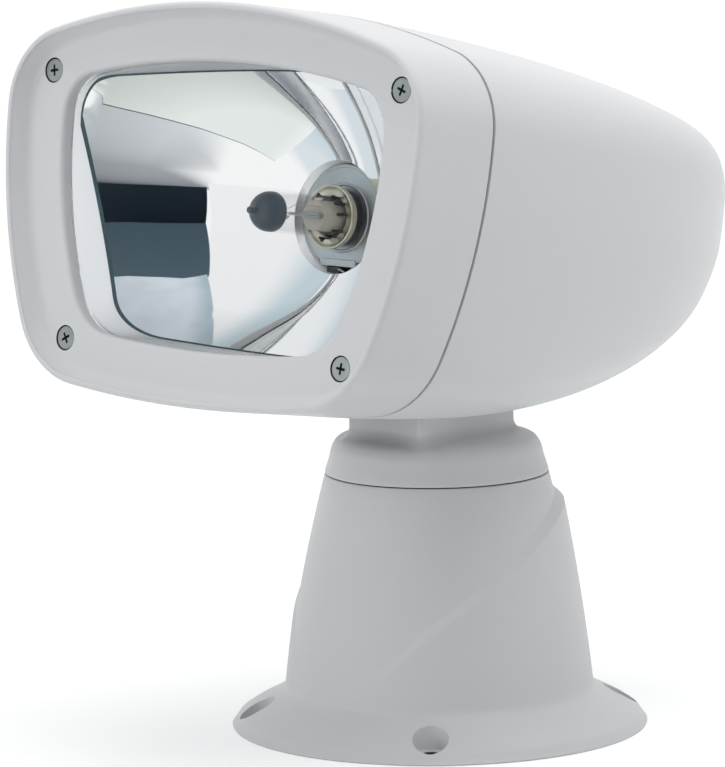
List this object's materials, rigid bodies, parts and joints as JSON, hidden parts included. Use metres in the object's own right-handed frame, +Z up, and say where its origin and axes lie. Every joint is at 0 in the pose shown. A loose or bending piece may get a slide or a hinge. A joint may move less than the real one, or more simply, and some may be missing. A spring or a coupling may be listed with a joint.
{
  "type": "marine searchlight",
  "caption": "Remote-control marine searchlight: a tapered white lamp head with a framed window tilts on a turret that pans on a flanged conical base.",
  "frame": {"origin": "centre of the base's flat underside", "axes": "+Z up along the pan axis; the lamp shines towards -Y; +X is to the lamp's left as it faces forward"},
  "size_m": [0.2242, 0.2996, 0.3006],
  "materials": {
    "cast_white": "smooth white moulding",
    "gelcoat_white": "smooth glossy white moulding",
    "black_rubber": "matt",
    "stainless_steel": "bright stainless",
    "zinc_plate": "zinc plated",
    "acetal": "natural bearing plastic",
    "gear_acetal": "natural gear plastic",
    "brass": "cut brass",
    "clear_glass": "clear",
    "reflector_mirror": "vacuum-metallised mirror",
    "bulb_cap_paint": "dark heat-proof paint",
    "tungsten": "bare wire",
    "ceramic": "unglazed lamp base",
    "black_nylon": "moulded connector"
  },
  "bodies": {
    "base": {"base_housing": "cast_white", "base_plate": "zinc_plate", "base_plate_screw_1": "stainless_steel", "base_plate_screw_2": "stainless_steel", "base_plate_screw_3": "stainless_steel", "base_plate_screw_4": "stainless_steel", "wire_grommet": "black_rubber", "pan_bush_upper": "acetal", "pan_bush_lower": "acetal", "pan_motor_plate": "zinc_plate", "motor_plate_screw_1": "stainless_steel", "motor_plate_screw_2": "stainless_steel", "pan_gearbox": "zinc_plate", "pan_motor": "stainless_steel"},
    "turret": {"turret_cap": "cast_white", "pan_shaft": "stainless_steel", "pan_gear": "gear_acetal", "pan_retaining_ring": "stainless_steel", "pan_seal": "black_rubber", "tilt_axle": "stainless_steel", "tilt_sector_gear": "gear_acetal", "tilt_axle_clip_left": "stainless_steel", "tilt_axle_clip_right": "stainless_steel"},
    "head": {"front_bezel": "gelcoat_white", "bezel_screw_1": "stainless_steel", "bezel_screw_2": "stainless_steel", "bezel_screw_3": "stainless_steel", "bezel_screw_4": "stainless_steel", "rear_shell": "gelcoat_white", "seam_gasket": "black_rubber", "lens_gasket": "black_rubber", "front_lens": "clear_glass", "reflector": "reflector_mirror", "lens_clamp_1": "zinc_plate", "lens_clamp_2": "zinc_plate", "lens_clamp_3": "zinc_plate", "lens_clamp_4": "zinc_plate", "bulb_glass": "clear_glass", "bulb_cap": "bulb_cap_paint", "bulb_filament": "tungsten", "bulb_flange": "zinc_plate", "bulb_base": "ceramic", "bulb_connector": "black_nylon", "bulb_spring_clip": "stainless_steel", "head_frame": "zinc_plate", "frame_screw_1": "stainless_steel", "frame_screw_2": "stainless_steel", "frame_screw_3": "stainless_steel", "frame_screw_4": "stainless_steel", "tilt_bush_left": "acetal", "tilt_bush_right": "acetal", "tilt_gearbox": "zinc_plate", "tilt_motor": "stainless_steel"},
    "pan_pinion": {"pan_pinion": "brass"},
    "tilt_pinion": {"tilt_pinion": "brass"}
  },
  "joints": [
    {"name": "pan", "type": "hinge", "parent": "base", "child": "turret", "pos_m": [0, 0, 0.1037], "axis": [0, 0, 1], "range_deg": [-175, 175]},
    {"name": "tilt", "type": "hinge", "parent": "turret", "child": "head", "pos_m": [0, 0, 0.168], "axis": [1, 0, 0], "range_deg": [-12, 14]},
    {"name": "pan_pinion_spin", "type": "hinge", "parent": "base", "child": "pan_pinion", "pos_m": [0, 0.0378, 0.0588], "axis": [0, 0, 1], "range_deg": [-700, 700]},
    {"name": "tilt_pinion_spin", "type": "hinge", "parent": "head", "child": "tilt_pinion", "pos_m": [-0.028, 0.03552, 0.18093], "axis": [1, 0, 0], "range_deg": [-48, 56]}
  ],
  "couplings": [
    {"joint": "pan_pinion_spin", "follows": "pan", "ratio": -4},
    {"joint": "tilt_pinion_spin", "follows": "tilt", "ratio": 4}
  ]
}
